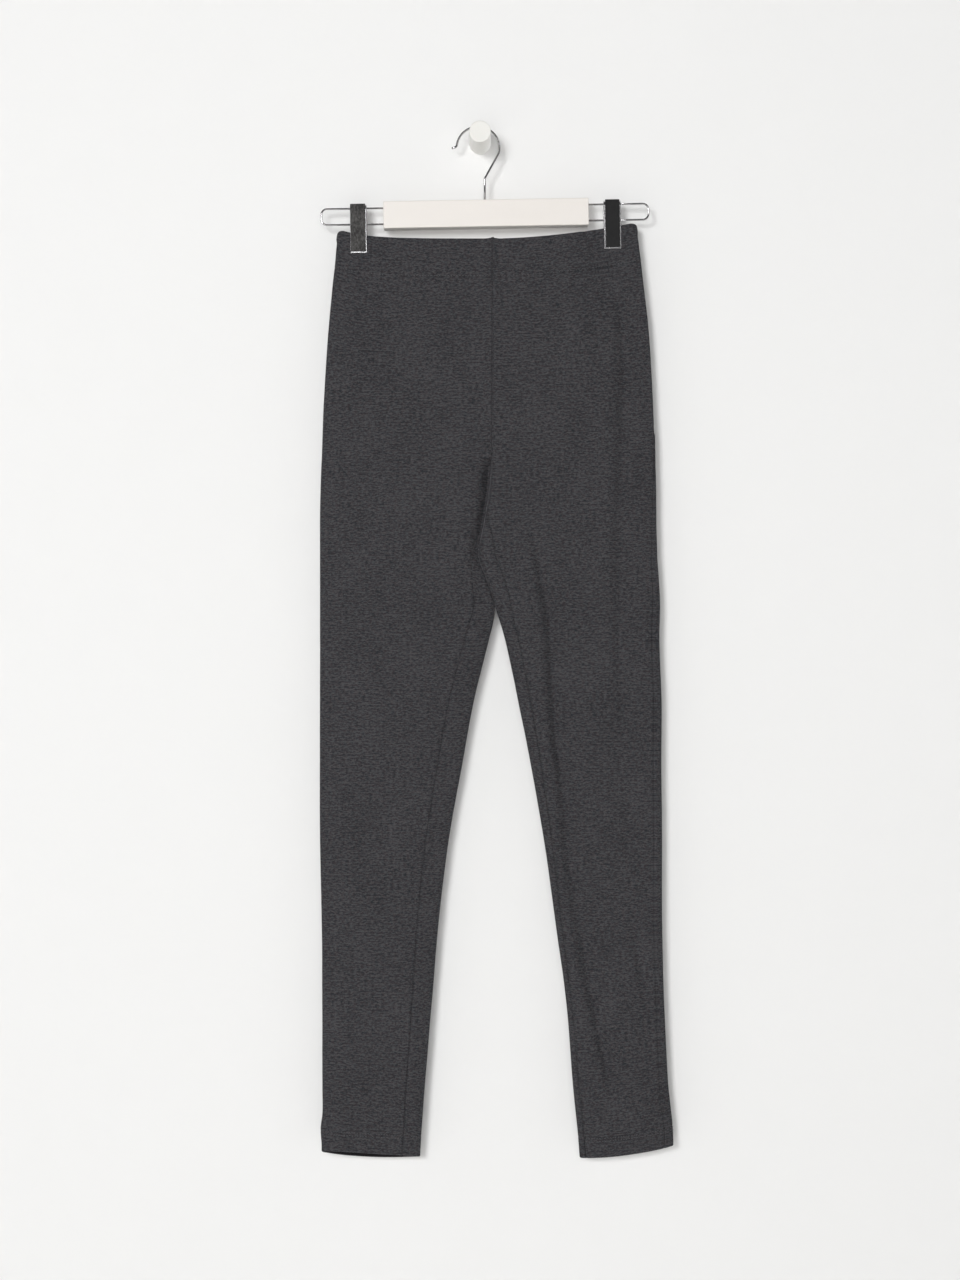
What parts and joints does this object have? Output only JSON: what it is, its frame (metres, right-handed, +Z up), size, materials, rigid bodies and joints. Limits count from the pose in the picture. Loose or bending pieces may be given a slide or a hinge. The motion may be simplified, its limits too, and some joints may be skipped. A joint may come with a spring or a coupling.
{
  "type": "leggings on a clip hanger and wall peg",
  "caption": "Plain jersey leggings hung flat by the waist from a clip hanger on a wall peg, waist and ankles open.",
  "frame": {"origin": "centre of the peg's flat back face, where it meets the wall", "axes": "+Z up, +Y into the wall, +X to the right as seen from the front; the garment's front faces -Y"},
  "size_m": [0.3699, 0.065, 1.0842],
  "materials": {
    "jersey": "charcoal grey marl single jersey, matt, with fine streaks along the courses",
    "painted_wood": "off-white satin paint on wood",
    "painted_peg": "white satin paint on a turned wooden peg",
    "bright_steel": "bright plated steel",
    "black_plastic": "black, slightly glossy"
  },
  "bodies": {
    "root": {"casing_front_left": "jersey", "front_left_waist": "jersey", "front_left_seat": "jersey", "front_left_thigh": "jersey", "front_left_knee": "jersey", "front_left_shin": "jersey", "hem_front_left": "jersey", "casing_front_right": "jersey", "front_right_waist": "jersey", "front_right_seat": "jersey", "front_right_thigh": "jersey", "front_right_knee": "jersey", "front_right_shin": "jersey", "hem_front_right": "jersey", "casing_back_left": "jersey", "back_left_waist": "jersey", "back_left_seat": "jersey", "back_left_thigh": "jersey", "back_left_knee": "jersey", "back_left_shin": "jersey", "hem_back_left": "jersey", "casing_back_right": "jersey", "back_right_waist": "jersey", "back_right_seat": "jersey", "back_right_thigh": "jersey", "back_right_knee": "jersey", "back_right_shin": "jersey", "hem_back_right": "jersey", "bar": "painted_wood", "peg": "painted_peg", "hook": "bright_steel", "wire_loop_left": "bright_steel", "wire_loop_right": "bright_steel", "clip_left": "bright_steel", "clip_right": "bright_steel", "clip_face_left": "black_plastic", "clip_face_right": "black_plastic"}
  },
  "joints": []
}
